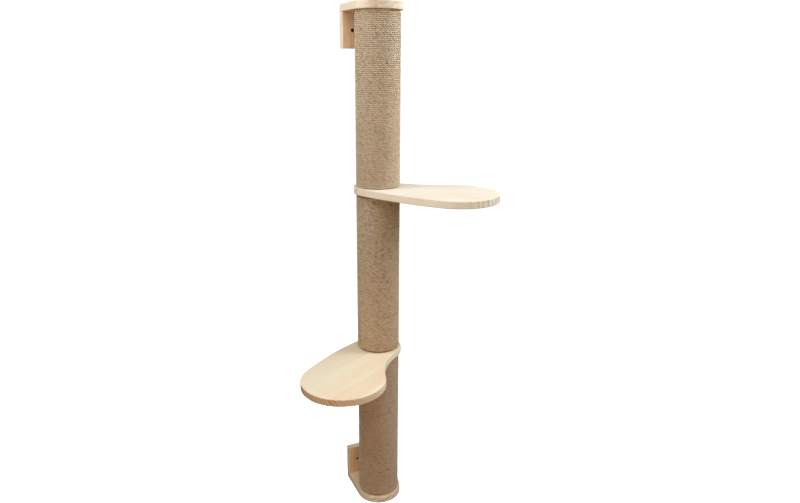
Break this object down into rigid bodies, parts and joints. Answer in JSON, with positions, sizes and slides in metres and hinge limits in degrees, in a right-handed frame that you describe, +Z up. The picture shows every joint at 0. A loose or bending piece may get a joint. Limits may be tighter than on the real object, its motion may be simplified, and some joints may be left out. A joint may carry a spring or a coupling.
{
  "type": "wall-mounted cat scratching post",
  "caption": "Upright rope-wound post held off a wall by pine end brackets, with pear-shaped pine shelves clamped between its sections that turn about it, for a cat to scratch and climb.",
  "frame": {"origin": "centre of the four wall-screw holes, on the wall plane", "axes": "+X to the right for someone facing the wall, +Y into the wall, +Z up along the post"},
  "size_m": [0.4889, 0.3468, 1.302],
  "materials": {
    "pine": "planed, unvarnished",
    "rope": "twisted natural fibre",
    "paperboard": "spiral-wound paper",
    "turned_wood": "turned, raw",
    "zinc_steel": "bright zinc plated"
  },
  "bodies": {
    "post": {"top_end_plate": "pine", "top_wall_plate": "pine", "top_end_bolt": "zinc_steel", "top_end_washer": "zinc_steel", "top_bracket_screws": "zinc_steel", "bottom_end_plate": "pine", "bottom_wall_plate": "pine", "bottom_end_bolt": "zinc_steel", "bottom_end_washer": "zinc_steel", "bottom_bracket_screws": "zinc_steel", "upper_joining_stud": "zinc_steel", "lower_joining_stud": "zinc_steel", "upper_core_tube": "paperboard", "upper_rope_winding": "rope", "upper_bottom_plug": "turned_wood", "upper_top_plug": "turned_wood", "middle_core_tube": "paperboard", "middle_rope_winding": "rope", "middle_bottom_plug": "turned_wood", "middle_top_plug": "turned_wood", "lower_core_tube": "paperboard", "lower_rope_winding": "rope", "lower_bottom_plug": "turned_wood", "lower_top_plug": "turned_wood", "threaded_inserts": "zinc_steel"},
    "upper_shelf": {"upper_shelf": "pine"},
    "lower_shelf": {"lower_shelf": "pine"}
  },
  "joints": [
    {"name": "upper_shelf_turn", "type": "hinge", "parent": "post", "child": "upper_shelf", "pos_m": [0, -0.094, 0.214], "axis": [0, 0, 1], "range_deg": [-129, 44]},
    {"name": "lower_shelf_turn", "type": "hinge", "parent": "post", "child": "lower_shelf", "pos_m": [0, -0.094, -0.214], "axis": [0, 0, 1], "range_deg": [-40, 133]}
  ]
}
